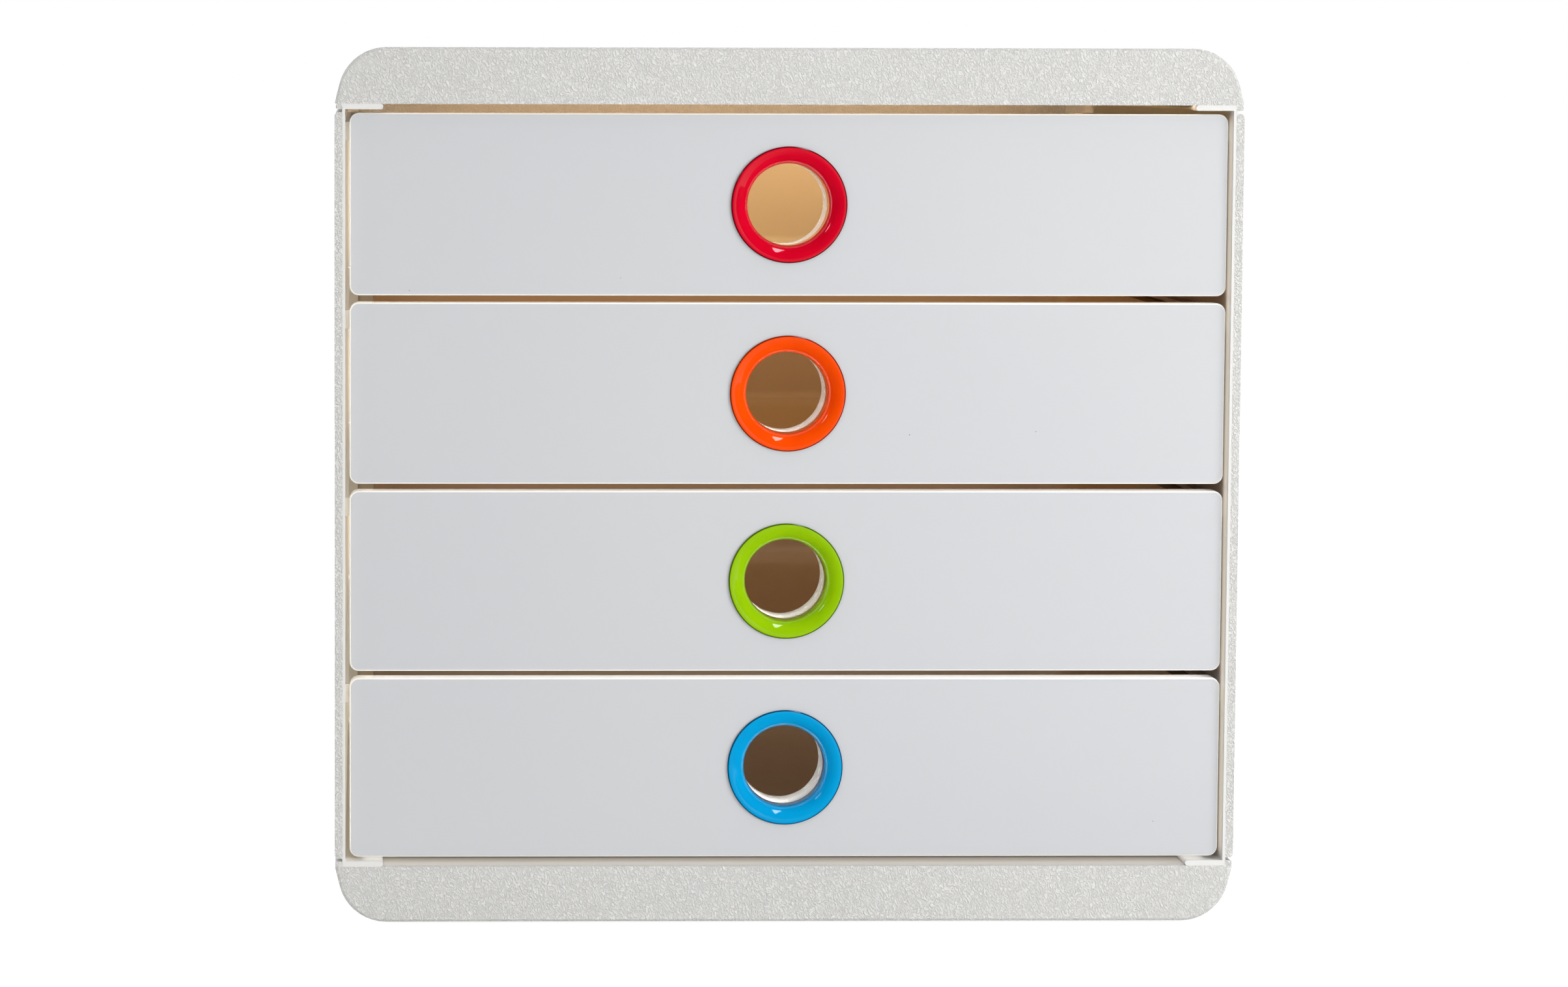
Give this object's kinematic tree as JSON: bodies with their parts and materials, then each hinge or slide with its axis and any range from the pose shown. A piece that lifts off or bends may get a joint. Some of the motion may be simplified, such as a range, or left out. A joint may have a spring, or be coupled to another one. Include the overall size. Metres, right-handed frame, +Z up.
{
  "type": "desktop drawer box",
  "caption": "Low desktop box of shallow white plastic drawers for paper and craft parts; each drawer slides out on moulded ledges by a round coloured finger ring.",
  "frame": {"origin": "on the surface that the feet stand on, under the middle of the casing", "axes": "+X to the right seen from the front, +Y from the drawer fronts to the back, +Z up"},
  "size_m": [0.29, 0.355, 0.2814],
  "materials": {
    "casing_grained": "off-white, leather-like moulded grain",
    "casing_smooth": "off-white, smooth satin",
    "front_gloss": "cool white, polished",
    "tray_ivory": "warm ivory, smooth satin",
    "sleeve_white": "white, semi-gloss",
    "ring_red": "polished red",
    "ring_orange": "polished orange",
    "ring_green": "polished lime green",
    "ring_blue": "polished sky blue",
    "feet_rubber": "grey, matt"
  },
  "bodies": {
    "casing": {"top_cover": "casing_grained", "cover_liner": "casing_smooth", "base_cover": "casing_grained", "base_liner": "casing_smooth", "left_side_panel": "casing_grained", "right_side_panel": "casing_grained", "back_panel": "casing_grained", "rubber_feet": "feet_rubber"},
    "drawer_1": {"drawer_1_tray": "tray_ivory", "drawer_1_front": "front_gloss", "drawer_1_ring": "ring_red", "drawer_1_sleeve": "sleeve_white"},
    "drawer_2": {"drawer_2_tray": "tray_ivory", "drawer_2_front": "front_gloss", "drawer_2_ring": "ring_orange", "drawer_2_sleeve": "sleeve_white"},
    "drawer_3": {"drawer_3_tray": "tray_ivory", "drawer_3_front": "front_gloss", "drawer_3_ring": "ring_green", "drawer_3_sleeve": "sleeve_white"},
    "drawer_4": {"drawer_4_tray": "tray_ivory", "drawer_4_front": "front_gloss", "drawer_4_ring": "ring_blue", "drawer_4_sleeve": "sleeve_white"}
  },
  "joints": [
    {"name": "drawer_1_slide", "type": "slide", "parent": "casing", "child": "drawer_1", "axis": [0, -1, 0], "range_m": [0, 0.255]},
    {"name": "drawer_2_slide", "type": "slide", "parent": "casing", "child": "drawer_2", "axis": [0, -1, 0], "range_m": [0, 0.255]},
    {"name": "drawer_3_slide", "type": "slide", "parent": "casing", "child": "drawer_3", "axis": [0, -1, 0], "range_m": [0, 0.255]},
    {"name": "drawer_4_slide", "type": "slide", "parent": "casing", "child": "drawer_4", "axis": [0, -1, 0], "range_m": [0, 0.255]}
  ]
}
